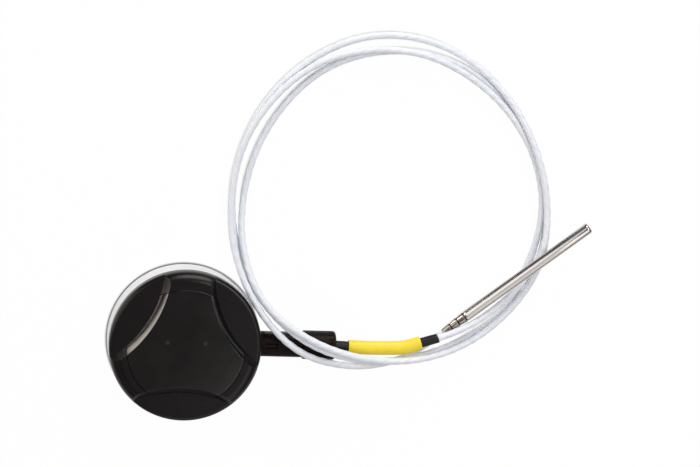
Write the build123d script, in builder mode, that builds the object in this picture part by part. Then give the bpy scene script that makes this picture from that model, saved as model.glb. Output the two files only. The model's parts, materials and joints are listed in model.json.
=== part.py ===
# A round wireless data logger lying on its back: a white base and a black cover with
# three finger scoops round a glossy window, and a plugged-in temperature probe on a
# loosely coiled cable. The origin is on the surface it lies on, under the case's axis.
# +Z is up out of the window and +X runs out of the probe socket.

import math
import os

from build123d import *

os.makedirs("parts", exist_ok=True)

# General fits
fit_gap = 0.15
press_gap = 0.05
overcut = 1.0

# Base
base_radius = 41.5
base_height = 15.0
base_wall = 2.4
base_floor = 2.2
base_foot_round = 0.8
base_rim_round = 0.4

# Cover
seam = 0.6
cover_wall = 2.6
cover_roof = 1.6
cover_edge_round = 0.5
rim_round = 6.0
lip_thickness = 1.4
lip_drop = 3.0
lip_anchor = 2.4

# Finger scoops in the cover
scoop_count = 3
scoop_first_angle = 29
scoop_depth = 3.6
scoop_width = 19.75
scoop_radius = 66.0
scoop_bevel = 3.4
scoop_edge_round = 2.4
cap_setback = 0.05

# Window
window_thickness = 3.9
window_margin = 9.4
window_corner_round = 0.8
window_edge_round = 0.35
window_gap = 0.25

# Gasket
seal_width = 1.1
seal_inset = 0.1

# Case screws
case_screw_count = 3
case_screw_first_angle = 30
case_screw_radius = 1.25
case_screw_head_radius = 2.3
case_screw_head_height = 1.8
case_screw_seat = 6.0
case_screw_length = 12.0
base_boss_radius = 3.4
base_boss_drop = 0.8
cover_boss_radius = 3.2
boss_gap = 0.3

# Circuit board
board_thickness = 1.2
board_edge_gap = 0.3
board_cell_gap = 0.3
board_headroom = 2.8
post_edge = 2.9
post_first_angle = 60
post_count = 3
post_radius = 2.6
board_screw_radius = 0.9
board_screw_head_radius = 1.7
board_screw_head_height = 1.2
board_screw_length = 6.0

# Parts on the board
led_spacing = 20.5
led_y = 3.0
led_size = 2.0
led_height = 0.8
pipe_radius = 1.2
pipe_flange_radius = 1.9
pipe_flange_height = 0.7
pipe_depth_in_window = 2.5
radio_length = 14.0
radio_width = 10.0
radio_height = 2.0
radio_place = (12.0, -8.0)
chip_size = 7.0
chip_height = 1.0
chip_place = (-8.0, -12.0)
memory_length = 5.0
memory_width = 4.0
memory_height = 0.9
memory_place = (-6.0, 16.0)

# Battery cell, lying along Y
cell_radius = 7.25
cell_length = 50.5
cell_nub_radius = 2.75
cell_nub_length = 1.3
cell_x = -11.0
cell_lift = 0.2
cradle_rib_thickness = 1.6
cradle_rib_spacing = 28.0
cradle_rib_width = 16.0
cradle_rib_height = 6.0
clip_thickness = 0.4
clip_width = 6.0
clip_drop = 13.0
clip_foot = 1.8

# Socket and plug share one axis along X
socket_bridge = 1.05
socket_stand = 1.5
socket_bezel_radius = 7.0
socket_neck_radius = 4.8
socket_bore_radius = 3.8
socket_bore_depth = 11.5
socket_setback = 2.2
socket_block_length = 9.5
socket_block_width = 15.0
contact_count = 4
contact_first_angle = 45
contact_circle = 2.0
contact_pin_radius = 0.4
contact_pin_length = 10.0
contact_tube_radius = 0.7
contact_tube_length = 16.0

plug_flange_thickness = 1.0
plug_flange_radius = 7.0
plug_flange_round = 0.3
plug_width = 13.2
plug_height = 12.8
plug_corner = 4.5
plug_edge_round = 0.4
plug_wall = 1.3
plug_length = 21.5
plug_front_wall = 3.0
plug_nose_length = 10.8
tongue_setback = 0.3
tongue_length = 6.4
tongue_width = 2.0
tongue_slot = 0.45
tongue_end_slot = 0.8
plug_rear_radius = 7.9
plug_rear_length = 14.3
plug_rear_chamfer = 1.2
plug_rear_wall = 1.5
nut_length = 4.5
nut_round = 1.6
nut_rib_count = 20
nut_groove_radius = 0.45
plug_board_thickness = 1.2
plug_board_length = 28.0

# Shrink sleeve and yellow sleeve on the cable
sleeve_radius = 2.95
sleeve_inset = 3.0
label_radius = 3.85
sleeve_bends = [(96.0, -0.95), (121.5, -0.35)]
sleeve_bend_run = 4.0
sleeve_end = (140.3, 5.6)
label_from = 89.7
label_to = 131.0

# Probe
probe_radius = 3.0
probe_length = 100.0
probe_wall = 0.5
probe_tip_wall = 1.2
probe_tip_round = 0.7
crimp_steps = [(1.95, 2.3, 5.8), (2.3, 2.65, 4.8), (2.6, 2.9, 4.8)]
crimp_groove = 0.5
crimp_groove_depth = 0.3
crimp_taper = 1.0
probe_start = (144.2, 8.05, 4.3)
probe_aim = (218.85, 72.9, 21.2)
element_radius = 1.0
element_length = 10.0
element_from_tip = 2.5
lead_radius = 0.3
lead_spacing = 1.0

# Cable. Each turn is a row of stations every coil_step degrees round the coil's middle,
# given as distance from that middle and height of the cable's middle above the surface.
cable_diameter = 3.8
cable_lead_in = 14.0
cable_lead_out = [(120.0, -9.3, 3.0)]
cable_lead_out_run = 13.0
arc_share = 0.45
coil_middle = (109.5, 80.5)
coil_first_angle = 320
coil_step = 20
first_turn = [
    (86.2, 7.0), (92.5, 5.1), (89.5, 2.1), (86.5, 2.0), (84.5, 2.0), (85.5, 2.0),
    (84.5, 2.0), (83.5, 2.0), (82.5, 2.0), (80.0, 2.0), (79.5, 2.2), (81.0, 2.0),
    (85.5, 6.8), (89.5, 18.4), (86.5, 24.2), (86.5, 20.4), (90.0, 12.0), (93.0, 5.7),
]
second_turn = [
    (93.0, 6.3), (92.5, 10.1), (88.5, 9.2), (86.0, 10.1), (87.0, 6.0), (89.5, 2.9),
    (92.0, 2.0), (93.0, 2.0), (91.0, 2.0), (89.0, 2.0), (87.5, 2.0), (87.5, 2.0),
    (88.0, 3.2), (89.5, 13.8), (89.5, 21.0), (89.0, 17.2), (89.5, 7.6), (90.5, 2.0),
]
third_turn = [
    (93.0, 2.0), (87.5, 2.0), (86.5, 6.2), (84.5, 5.6), (82.5, 5.4), (82.0, 5.0),
    (84.0, 6.2), (85.5, 6.0), (87.5, 5.0), (87.5, 5.8), (88.0, 6.2), (88.0, 5.6),
    (90.5, 8.4), (93.5, 17.4), (96.5, 21.8), (94.5, 9.8),
]

# Heights and places that follow from the sizes above, from the floor up and the wall in
cell_axis_z = base_floor + cell_lift + cell_radius
board_underside = cell_axis_z + cell_radius + board_cell_gap
board_top = board_underside + board_thickness
roof_underside = board_top + board_headroom
scoop_floor = roof_underside + cover_roof
case_height = scoop_floor + scoop_depth
cap_bottom = scoop_floor - scoop_edge_round - overcut
window_seat = case_height - window_thickness
cover_bottom = base_height + seam
base_boss_top = base_height - base_boss_drop
cover_radius = base_radius
cover_inner_radius = cover_radius - cover_wall
base_inner_radius = base_radius - base_wall
lip_inner_radius = cover_inner_radius - lip_thickness
case_screw_circle = lip_inner_radius - boss_gap - base_boss_radius
board_radius = case_screw_circle - cover_boss_radius - board_edge_gap
post_circle = board_radius - post_edge
window_lobe_radius = cover_radius - window_margin
scoop_distance = cover_radius - scoop_width + scoop_radius
scoop_floor_radius = scoop_radius - scoop_bevel
led_places = [(-led_spacing / 2, led_y), (led_spacing / 2, led_y)]
socket_face_x = base_radius + socket_stand
socket_block_front = lip_inner_radius - socket_setback
plug_axis_z = base_height - socket_bridge - fit_gap - socket_neck_radius
plug_body_start = socket_face_x + plug_flange_thickness
plug_body_end = socket_face_x + plug_length
plug_rear_end = plug_body_end + plug_rear_length
nut_end = plug_rear_end + nut_length


# Planes across the plug's axis, and across the probe at its crimped end
def plug_plane(x):
    return Plane(origin=(x, 0, plug_axis_z), x_dir=(0, 1, 0), z_dir=(1, 0, 0))


probe_line = Vector(*probe_aim) - Vector(*probe_start)
probe_plane = Plane(origin=probe_start, x_dir=(-probe_line.Y, probe_line.X, 0), z_dir=probe_line)


def save(piece, name):
    piece.part.label = name
    export_step(piece.part, f"parts/{name}.step")


# Base: a shallow tray with screw bosses, board posts and a cradle for the cell
with BuildPart() as base_shell:
    with BuildSketch():
        Circle(base_radius)
    extrude(amount=base_height)
    fillet(base_shell.edges().group_by(Axis.Z)[0], base_foot_round)
    fillet(base_shell.edges().group_by(Axis.Z)[-1], base_rim_round)
    with BuildSketch(Plane.XY.offset(base_floor)):
        Circle(base_inner_radius)
    extrude(amount=base_height, mode=Mode.SUBTRACT)
    with BuildSketch(Plane.XY.offset(base_floor)):
        with PolarLocations(case_screw_circle, case_screw_count, case_screw_first_angle):
            Circle(base_boss_radius)
    extrude(amount=base_boss_top - base_floor)
    with BuildSketch(Plane.XY.offset(base_floor)):
        with PolarLocations(post_circle, post_count, post_first_angle):
            Circle(post_radius)
    extrude(amount=board_underside - base_floor)
    with BuildSketch(Plane.XY.offset(base_floor)):
        with Locations((cell_x, 0)):
            with GridLocations(0, cradle_rib_spacing, 1, 2):
                Rectangle(cradle_rib_width, cradle_rib_thickness)
    extrude(amount=cradle_rib_height)
    with BuildSketch(Plane.XZ.offset(-cell_length / 2)):
        with Locations((cell_x, cell_axis_z)):
            Circle(cell_radius + fit_gap)
    extrude(amount=cell_length, mode=Mode.SUBTRACT)
    with BuildSketch():
        with PolarLocations(case_screw_circle, case_screw_count, case_screw_first_angle):
            Circle(case_screw_head_radius + fit_gap)
    extrude(amount=case_screw_seat, mode=Mode.SUBTRACT)
    with BuildSketch():
        with PolarLocations(case_screw_circle, case_screw_count, case_screw_first_angle):
            Circle(case_screw_radius + fit_gap)
    extrude(amount=base_boss_top, mode=Mode.SUBTRACT)
    with BuildSketch(Plane.XY.offset(board_underside)):
        with PolarLocations(post_circle, post_count, post_first_angle):
            Circle(board_screw_radius + press_gap)
    extrude(amount=-board_screw_length, mode=Mode.SUBTRACT)
    with BuildSketch(plug_plane(base_inner_radius - base_wall)):
        Circle(socket_neck_radius + fit_gap)
    extrude(amount=2 * base_wall + overcut, mode=Mode.SUBTRACT)
save(base_shell, "base_shell")

# Raised cap: what three scoops leave of a cap with a rounded rim, as one piece of three lobes
with BuildPart() as raised_cap:
    with BuildSketch(Plane.XY.offset(cap_bottom)):
        Circle(cover_radius - cap_setback)
    extrude(amount=case_height - cap_bottom)
    fillet(raised_cap.edges().group_by(Axis.Z)[-1], rim_round)
    with Locations((0, 0, scoop_floor)):
        with PolarLocations(scoop_distance, scoop_count, scoop_first_angle):
            Cone(
                scoop_floor_radius,
                scoop_radius,
                scoop_depth,
                align=(Align.CENTER, Align.CENTER, Align.MIN),
                mode=Mode.SUBTRACT,
            )
    with BuildSketch(Plane.XY.offset(cap_bottom)):
        with PolarLocations(scoop_distance, scoop_count, scoop_first_angle):
            Circle(scoop_floor_radius)
    extrude(amount=scoop_floor - cap_bottom, mode=Mode.SUBTRACT)

# Cover: a bed as high as the scoops, with a rounded edge, the raised cap on it, and a seat
# for the window
with BuildPart() as front_cover:
    with BuildSketch(Plane.XY.offset(cover_bottom)):
        Circle(cover_radius)
    extrude(amount=scoop_floor - cover_bottom)
    fillet(front_cover.edges().group_by(Axis.Z)[-1], scoop_edge_round)
    fillet(front_cover.edges().group_by(Axis.Z)[0], cover_edge_round)
    add(raised_cap.part)
    with BuildSketch(Plane.XY.offset(cover_bottom)):
        Circle(cover_inner_radius)
    extrude(amount=roof_underside - cover_bottom, mode=Mode.SUBTRACT)
    with BuildSketch(Plane.XY.offset(window_seat)):
        Circle(window_lobe_radius + window_gap)
        with PolarLocations(scoop_distance, scoop_count, scoop_first_angle):
            Circle(scoop_floor_radius - window_gap, mode=Mode.SUBTRACT)
    extrude(amount=window_thickness + overcut, mode=Mode.SUBTRACT)
    with BuildSketch(Plane.XY.offset(roof_underside)):
        with Locations(*led_places):
            Circle(pipe_radius + fit_gap)
    extrude(amount=window_seat - roof_underside, mode=Mode.SUBTRACT)
    with BuildSketch(Plane.XY.offset(base_boss_top)):
        with PolarLocations(case_screw_circle, case_screw_count, case_screw_first_angle):
            Circle(cover_boss_radius)
    extrude(amount=roof_underside - base_boss_top)
    with BuildSketch(Plane.XY.offset(base_boss_top)):
        with PolarLocations(case_screw_circle, case_screw_count, case_screw_first_angle):
            Circle(case_screw_radius + press_gap)
    extrude(amount=case_screw_seat + case_screw_length - base_boss_top, mode=Mode.SUBTRACT)
    with BuildSketch(Plane.XY.offset(cover_bottom - lip_drop)):
        Circle(cover_inner_radius)
        Circle(lip_inner_radius, mode=Mode.SUBTRACT)
    extrude(amount=lip_drop + lip_anchor)
    with BuildSketch(plug_plane(socket_block_front)):
        Circle(socket_neck_radius + 2 * fit_gap)
    extrude(amount=base_radius - socket_block_front, mode=Mode.SUBTRACT)
save(front_cover, "front_cover")

# Window: a three-lobed plate whose hollow sides slope down to the scoops
with BuildPart() as front_window:
    with BuildSketch(Plane.XY.offset(window_seat)) as window_outline:
        Circle(window_lobe_radius)
        with PolarLocations(scoop_distance, scoop_count, scoop_first_angle):
            Circle(scoop_floor_radius, mode=Mode.SUBTRACT)
        fillet(window_outline.vertices(), window_corner_round)
    extrude(amount=window_thickness)
    with Locations((0, 0, scoop_floor)):
        with PolarLocations(scoop_distance, scoop_count, scoop_first_angle):
            Cone(
                scoop_floor_radius,
                scoop_radius,
                scoop_depth,
                align=(Align.CENTER, Align.CENTER, Align.MIN),
                mode=Mode.SUBTRACT,
            )
    with BuildSketch(Plane.XY.offset(window_seat)):
        with Locations(*led_places):
            Circle(pipe_radius + fit_gap)
    extrude(amount=pipe_depth_in_window + press_gap, mode=Mode.SUBTRACT)
    lobe_edges = front_window.edges().group_by(Axis.Z)[-1].filter_by(
        lambda e: e.geom_type == GeomType.CIRCLE and abs(e.radius - window_lobe_radius) < fit_gap
    )
    fillet(lobe_edges, window_edge_round)
save(front_window, "front_window")

# Gasket in the seam between base and cover
with BuildPart() as housing_seal:
    with BuildSketch(Plane.XY.offset(base_height)):
        Circle(base_inner_radius + seal_inset + seal_width)
        Circle(base_inner_radius + seal_inset, mode=Mode.SUBTRACT)
    extrude(amount=seam)
save(housing_seal, "housing_seal")

# Case screws, from the back through the base bosses into the cover bosses
with BuildPart() as case_screws:
    with BuildSketch(Plane.XY.offset(case_screw_seat)):
        with PolarLocations(case_screw_circle, case_screw_count, case_screw_first_angle):
            Circle(case_screw_head_radius)
    extrude(amount=-case_screw_head_height)
    with BuildSketch(Plane.XY.offset(case_screw_seat)):
        with PolarLocations(case_screw_circle, case_screw_count, case_screw_first_angle):
            Circle(case_screw_radius)
    extrude(amount=case_screw_length)
save(case_screws, "case_screws")

# Main board and its screws
with BuildPart() as main_board:
    with BuildSketch(Plane.XY.offset(board_underside)):
        Circle(board_radius)
        with PolarLocations(post_circle, post_count, post_first_angle):
            Circle(board_screw_radius + fit_gap, mode=Mode.SUBTRACT)
    extrude(amount=board_thickness)
save(main_board, "main_board")

with BuildPart() as board_screws:
    with BuildSketch(Plane.XY.offset(board_top)):
        with PolarLocations(post_circle, post_count, post_first_angle):
            Circle(board_screw_head_radius)
    extrude(amount=board_screw_head_height)
    with BuildSketch(Plane.XY.offset(board_top)):
        with PolarLocations(post_circle, post_count, post_first_angle):
            Circle(board_screw_radius)
    extrude(amount=-board_screw_length)
save(board_screws, "board_screws")

# Components on the board's upper side
component_sizes = {
    "radio_module": (radio_place, radio_length, radio_width, radio_height),
    "microcontroller": (chip_place, chip_size, chip_size, chip_height),
    "memory_chip": (memory_place, memory_length, memory_width, memory_height),
    "status_led_left": (led_places[0], led_size, led_size, led_height),
    "status_led_right": (led_places[1], led_size, led_size, led_height),
}
for component_name, (place, length, width, height) in component_sizes.items():
    with BuildPart() as component:
        with BuildSketch(Plane.XY.offset(board_top)):
            with Locations(place):
                Rectangle(length, width)
        extrude(amount=height)
    save(component, component_name)

# Light pipes hang in the roof by a flange and end in the window's blind holes
pipe_bottom = board_top + led_height + press_gap
for pipe_name, place in zip(("light_pipe_left", "light_pipe_right"), led_places):
    with BuildPart() as light_pipe:
        with BuildSketch(Plane.XY.offset(pipe_bottom)):
            with Locations(place):
                Circle(pipe_radius)
        extrude(amount=window_seat + pipe_depth_in_window - pipe_bottom)
        with BuildSketch(Plane.XY.offset(roof_underside)):
            with Locations(place):
                Circle(pipe_flange_radius)
        extrude(amount=-pipe_flange_height)
    save(light_pipe, pipe_name)

# Battery cell with its nub towards +Y
with BuildPart() as battery_cell:
    with BuildSketch(Plane.XZ.offset(cell_length / 2)):
        with Locations((cell_x, cell_axis_z)):
            Circle(cell_radius)
    extrude(amount=-(cell_length - cell_nub_length))
    with BuildSketch(Plane.XZ.offset(-cell_length / 2)):
        with Locations((cell_x, cell_axis_z)):
            Circle(cell_nub_radius)
    extrude(amount=cell_nub_length)
save(battery_cell, "battery_cell")

# Battery contacts: strips that hang from the board at the cell's two ends
for clip_name, side in (("battery_clip_positive", 1), ("battery_clip_negative", -1)):
    near = side * (cell_length / 2 + press_gap)
    with BuildPart() as battery_clip:
        with BuildSketch(Plane.YZ.offset(cell_x - clip_width / 2)):
            with BuildLine():
                Polyline(
                    (near, board_underside),
                    (near, board_underside - clip_drop),
                    (near + side * clip_thickness, board_underside - clip_drop),
                    (near + side * clip_thickness, board_underside - clip_thickness),
                    (near + side * clip_foot, board_underside - clip_thickness),
                    (near + side * clip_foot, board_underside),
                    close=True,
                )
            make_face()
        extrude(amount=clip_width)
    save(battery_clip, clip_name)

# Probe socket: a block under the board, a neck through the wall and a bezel outside it
socket_block_back = socket_block_front - socket_block_length
socket_block_height = board_underside - base_floor - fit_gap
with BuildPart() as probe_socket:
    with BuildSketch(Plane.XY.offset(base_floor + fit_gap)):
        with Locations((socket_block_back + socket_block_length / 2, 0)):
            Rectangle(socket_block_length, socket_block_width)
    extrude(amount=socket_block_height)
    with BuildSketch(plug_plane(base_inner_radius)):
        Circle(socket_bezel_radius)
    extrude(amount=socket_face_x - base_inner_radius)
    with BuildSketch():
        Circle(base_radius + press_gap)
        Circle(base_inner_radius - base_wall, mode=Mode.SUBTRACT)
    extrude(amount=case_height, mode=Mode.SUBTRACT)
    with BuildSketch(plug_plane(socket_block_front)):
        Circle(socket_neck_radius)
    extrude(amount=socket_face_x - socket_block_front)
    with BuildSketch(plug_plane(socket_face_x)):
        Circle(socket_bore_radius)
    extrude(amount=-socket_bore_depth, mode=Mode.SUBTRACT)
    with BuildSketch(plug_plane(socket_block_back)):
        with PolarLocations(contact_circle, contact_count, contact_first_angle):
            Circle(contact_pin_radius + press_gap)
    extrude(amount=socket_block_length, mode=Mode.SUBTRACT)
save(probe_socket, "probe_socket")

with BuildPart() as socket_contacts:
    with BuildSketch(plug_plane(socket_block_back)):
        with PolarLocations(contact_circle, contact_count, contact_first_angle):
            Circle(contact_pin_radius)
    extrude(amount=contact_pin_length)
save(socket_contacts, "socket_contacts")

# Plug body: flange, shell with a spring tongue cut in its top, and a nose in the socket
with BuildPart() as plug_body:
    with BuildSketch(plug_plane(socket_face_x)):
        Circle(plug_flange_radius)
    extrude(amount=plug_flange_thickness)
    fillet(plug_body.edges().filter_by(GeomType.CIRCLE), plug_flange_round)
    with BuildSketch(plug_plane(plug_body_start)):
        RectangleRounded(plug_width, plug_height, plug_corner)
    extrude(amount=plug_body_end - plug_body_start)
    fillet(plug_body.edges().group_by(Axis.X)[-1], plug_edge_round)
    with BuildSketch(plug_plane(socket_face_x)):
        Circle(socket_bore_radius - fit_gap)
    extrude(amount=-plug_nose_length)
    with BuildSketch(plug_plane(socket_face_x + plug_front_wall)):
        RectangleRounded(plug_width - 2 * plug_wall, plug_height - 2 * plug_wall, plug_corner - plug_wall)
    extrude(amount=plug_body_end - socket_face_x - plug_front_wall, mode=Mode.SUBTRACT)
    with BuildSketch(plug_plane(socket_face_x - plug_nose_length)):
        with PolarLocations(contact_circle, contact_count, contact_first_angle):
            Circle(contact_tube_radius + press_gap)
    extrude(amount=plug_nose_length + plug_front_wall, mode=Mode.SUBTRACT)
    tongue_start = plug_body_start + tongue_setback
    with BuildSketch(Plane.XY.offset(plug_axis_z + plug_height / 2 - plug_wall)):
        with Locations((tongue_start + tongue_length / 2, 0)):
            with GridLocations(0, tongue_width + tongue_slot, 1, 2):
                Rectangle(tongue_length, tongue_slot)
        with Locations((tongue_start + tongue_length, 0)):
            Rectangle(tongue_end_slot, tongue_width + 2 * tongue_slot)
    extrude(amount=plug_wall + overcut, mode=Mode.SUBTRACT)
save(plug_body, "plug_body")

with BuildPart() as plug_contacts:
    with BuildSketch(plug_plane(socket_face_x - plug_nose_length)):
        with PolarLocations(contact_circle, contact_count, contact_first_angle):
            Circle(contact_tube_radius)
            Circle(contact_pin_radius + press_gap, mode=Mode.SUBTRACT)
    extrude(amount=contact_tube_length)
save(plug_contacts, "plug_contacts")

# Rear shell of the plug
with BuildPart() as plug_rear_shell:
    with BuildSketch(plug_plane(plug_body_end)):
        Circle(plug_rear_radius)
    extrude(amount=plug_rear_length)
    chamfer(plug_rear_shell.edges().group_by(Axis.X)[0], plug_rear_chamfer)
    with BuildSketch(plug_plane(plug_body_end)):
        Circle(plug_rear_radius - plug_rear_wall)
    extrude(amount=plug_rear_length, mode=Mode.SUBTRACT)
save(plug_rear_shell, "plug_rear_shell")

# Ribbed nut that closes the plug on the sleeve
with BuildPart() as plug_gland_nut:
    with BuildSketch(plug_plane(plug_rear_end)):
        Circle(plug_rear_radius)
    extrude(amount=nut_length)
    fillet(plug_gland_nut.edges().group_by(Axis.X)[-1], nut_round)
    with BuildSketch(plug_plane(plug_rear_end)):
        Circle(sleeve_radius + 2 * fit_gap)
    extrude(amount=nut_length, mode=Mode.SUBTRACT)
    with BuildSketch(plug_plane(plug_rear_end)):
        with PolarLocations(plug_rear_radius, nut_rib_count):
            Circle(nut_groove_radius)
    extrude(amount=nut_length - nut_round, mode=Mode.SUBTRACT)
save(plug_gland_nut, "plug_gland_nut")

# Converter board across the inside of the plug
with BuildPart() as plug_board:
    with BuildSketch(Plane.XY.offset(plug_axis_z - plug_board_thickness / 2)):
        with Locations((plug_rear_end - plug_board_length / 2, 0)):
            Rectangle(plug_board_length, plug_width - 2 * plug_wall - 2 * fit_gap)
    extrude(amount=plug_board_thickness)
save(plug_board, "plug_board")

# Black shrink sleeve out of the nut, and the yellow sleeve round its middle
sleeve_start_x = nut_end - sleeve_inset


def at_plug_height(point):
    return Vector(point[0], point[1], plug_axis_z)


def turns(points):
    corners = zip(points, points[1:], points[2:])
    return [math.radians((corner - before).get_angle(after - corner)) for before, corner, after in corners]


sleeve_points = [at_plug_height(point) for point in [(sleeve_start_x, 0), *sleeve_bends, sleeve_end]]
sleeve_radii = [sleeve_bend_run / math.tan(turn / 2) for turn in turns(sleeve_points)]
with BuildPart() as strain_sleeve:
    with BuildLine() as sleeve_path:
        FilletPolyline(*sleeve_points, radius=sleeve_radii)
    with BuildSketch(Plane(origin=sleeve_path.line @ 0, z_dir=sleeve_path.line % 0)):
        Circle(sleeve_radius)
    sweep(path=sleeve_path.line)
save(strain_sleeve, "strain_sleeve")


def on_run(x, before, after):
    return before + (after - before) * ((x - before.X) / (after.X - before.X))


label_start = on_run(label_from, *sleeve_points[:2])
label_end = on_run(label_to, *sleeve_points[-2:])
label_points = [label_start, *sleeve_points[1:-1], label_end]
with BuildPart() as label_sleeve:
    with BuildLine() as label_path:
        FilletPolyline(*label_points, radius=sleeve_radii)
    with BuildSketch(Plane(origin=label_path.line @ 0, z_dir=label_path.line % 0)):
        Circle(label_radius)
        Circle(sleeve_radius + fit_gap, mode=Mode.SUBTRACT)
    sweep(path=label_path.line)
save(label_sleeve, "label_sleeve")

# Probe sheath: a closed steel tube with three crimped steps at the cable end
crimp_length = sum(step[2] for step in crimp_steps)
with BuildPart() as probe_sheath:
    with BuildSketch(Plane(origin=probe_plane.origin, x_dir=probe_plane.x_dir, z_dir=-probe_plane.y_dir)):
        with BuildLine():
            outline = [(0, 0)]
            reached = 0
            for near_radius, far_radius, step_length in crimp_steps:
                groove_start = reached + step_length - crimp_groove
                reached += step_length
                outline.append((near_radius, groove_start - step_length + crimp_groove))
                outline.append((far_radius, groove_start))
                outline.append((far_radius - crimp_groove_depth, groove_start))
                outline.append((far_radius - crimp_groove_depth, reached))
            outline.append((probe_radius, crimp_length + crimp_taper))
            outline.append((probe_radius, probe_length))
            outline.append((0, probe_length))
            Polyline(*outline, close=True)
        make_face()
    revolve(axis=Axis(probe_plane.origin, probe_plane.z_dir))
    fillet(probe_sheath.edges().sort_by(Axis(probe_plane.origin, probe_plane.z_dir))[-1], probe_tip_round)
    with BuildSketch(probe_plane.offset(crimp_length + crimp_taper)):
        Circle(probe_radius - probe_wall)
    extrude(amount=probe_length - probe_tip_wall - crimp_length - crimp_taper, mode=Mode.SUBTRACT)
    with BuildSketch(probe_plane):
        with GridLocations(lead_spacing, 0, 2, 1):
            Circle(lead_radius + press_gap)
    extrude(amount=crimp_length + crimp_taper, mode=Mode.SUBTRACT)
save(probe_sheath, "probe_sheath")

# Sensing element in the tip, the resin round it and its two leads
element_start = probe_length - element_from_tip - element_length
resin_start = element_start - element_length
with BuildPart() as sensor_element:
    with BuildSketch(probe_plane.offset(element_start)):
        Circle(element_radius)
    extrude(amount=element_length)
save(sensor_element, "sensor_element")

with BuildPart() as tip_resin:
    with BuildSketch(probe_plane.offset(resin_start)):
        Circle(probe_radius - probe_wall - press_gap)
    extrude(amount=probe_length - probe_tip_wall - resin_start)
    with BuildSketch(probe_plane.offset(element_start)):
        Circle(element_radius + press_gap)
    extrude(amount=element_length, mode=Mode.SUBTRACT)
    with BuildSketch(probe_plane.offset(resin_start)):
        with GridLocations(lead_spacing, 0, 2, 1):
            Circle(lead_radius + press_gap)
    extrude(amount=element_start - resin_start, mode=Mode.SUBTRACT)
save(tip_resin, "tip_resin")

with BuildPart() as sensor_leads:
    with BuildSketch(probe_plane):
        with GridLocations(lead_spacing, 0, 2, 1):
            Circle(lead_radius)
    extrude(amount=element_start)
save(sensor_leads, "sensor_leads")


# Cable: out of the sleeve, three loose turns over the plug, and into the probe
def coil_points():
    stations = first_turn + second_turn + third_turn
    points = []
    for count, (distance, height) in enumerate(stations):
        angle = math.radians(coil_first_angle + coil_step * count)
        x = coil_middle[0] + distance * math.cos(angle)
        y = coil_middle[1] + distance * math.sin(angle)
        points.append(Vector(x, y, height))
    return points


cable_start = at_plug_height(sleeve_end)
cable_end = Vector(*probe_start)
cable_points = [cable_start, cable_start + (sleeve_path.line % 1) * cable_lead_in, *coil_points()]
cable_points += [Vector(*point) for point in cable_lead_out]
cable_points += [cable_end - probe_plane.z_dir * cable_lead_out_run, cable_end]


def arc_radii(points):
    runs = [(after - before).length for before, after in zip(points, points[1:])]
    shorter = [min(pair) for pair in zip(runs, runs[1:])]
    return [arc_share * run / math.tan(turn / 2) for run, turn in zip(shorter, turns(points))]


cable_radii = arc_radii(cable_points)
with BuildPart() as probe_cable:
    with BuildLine() as cable_path:
        FilletPolyline(*cable_points, radius=cable_radii)
    with BuildSketch(Plane(origin=cable_path.line @ 0, z_dir=cable_path.line % 0)):
        Circle(cable_diameter / 2)
    sweep(path=cable_path.line)
save(probe_cable, "probe_cable")

cable_length = sum(edge.length for edge in cable_path.edges())
section_volume = math.pi * cable_diameter**2 / 4 * cable_length
print("cable radii", [round(r, 1) for r in cable_radii])
print("cable length", round(cable_length, 1))
print("cable volume against section times length", round(probe_cable.part.volume / section_volume, 4))
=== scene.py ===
# %% [markdown]
# A round wireless data logger with a plug-in temperature probe on a loose coil of cable.
# The CAD model is loaded first as a fixed frame. Every later cell dresses that frame:
# it gives the solids their finishes, lays the cable, and sets the camera and the lights.
# All lengths are in metres and share the frame's origin, under the axis of the case.

# %% Load the frame
import json
import math

import bpy
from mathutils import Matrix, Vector, noise


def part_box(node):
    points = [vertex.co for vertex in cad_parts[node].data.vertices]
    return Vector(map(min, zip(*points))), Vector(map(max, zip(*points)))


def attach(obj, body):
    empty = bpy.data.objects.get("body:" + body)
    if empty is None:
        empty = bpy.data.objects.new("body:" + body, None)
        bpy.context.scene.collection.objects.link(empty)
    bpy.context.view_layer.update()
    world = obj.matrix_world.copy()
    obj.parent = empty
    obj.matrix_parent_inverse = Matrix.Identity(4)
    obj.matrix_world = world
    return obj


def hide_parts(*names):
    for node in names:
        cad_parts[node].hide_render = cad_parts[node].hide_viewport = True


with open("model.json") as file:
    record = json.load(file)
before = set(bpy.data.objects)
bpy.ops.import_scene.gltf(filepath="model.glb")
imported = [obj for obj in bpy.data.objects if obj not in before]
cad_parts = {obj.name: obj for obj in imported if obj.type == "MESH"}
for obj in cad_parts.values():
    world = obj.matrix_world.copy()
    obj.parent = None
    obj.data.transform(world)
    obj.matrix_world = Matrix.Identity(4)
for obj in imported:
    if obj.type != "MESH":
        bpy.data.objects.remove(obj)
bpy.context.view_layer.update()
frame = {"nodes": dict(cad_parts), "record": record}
nodes = frame["nodes"]
MM = 0.001
scene = bpy.context.scene
print("frame nodes:", len(nodes))

# %% [markdown]
# The camera comes first, because everything is judged through it. The photograph looks
# almost straight down on a table: the camera stands well back with a long lens and leans a
# little towards the upper left, so a sliver of the white base shows there.

# %% Camera
LENS = 149.6
CAMERA_PLACE = (-0.14113, 0.34582, 1.55579)
CAMERA_TURN = (-10.726, -7.825, 3.302)

camera_data = bpy.data.cameras.new("camera")
camera_data.lens = LENS
camera_data.sensor_width = 36.0
camera_data.clip_end = 20.0
camera = bpy.data.objects.new("camera", camera_data)
camera.location = CAMERA_PLACE
camera.rotation_euler = [math.radians(angle) for angle in CAMERA_TURN]
scene.collection.objects.link(camera)
scene.camera = camera
print("camera height in mm:", round(camera.location.z / MM))

# %% [markdown]
# Finishes are node trees, and a few helpers keep each recipe short. These first ones start a
# material with its principled shader, add a node with some of its inputs set, and add a noise.
# The noise reads Object coordinates, so a grain stays fixed to the piece and has a real size.

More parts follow.
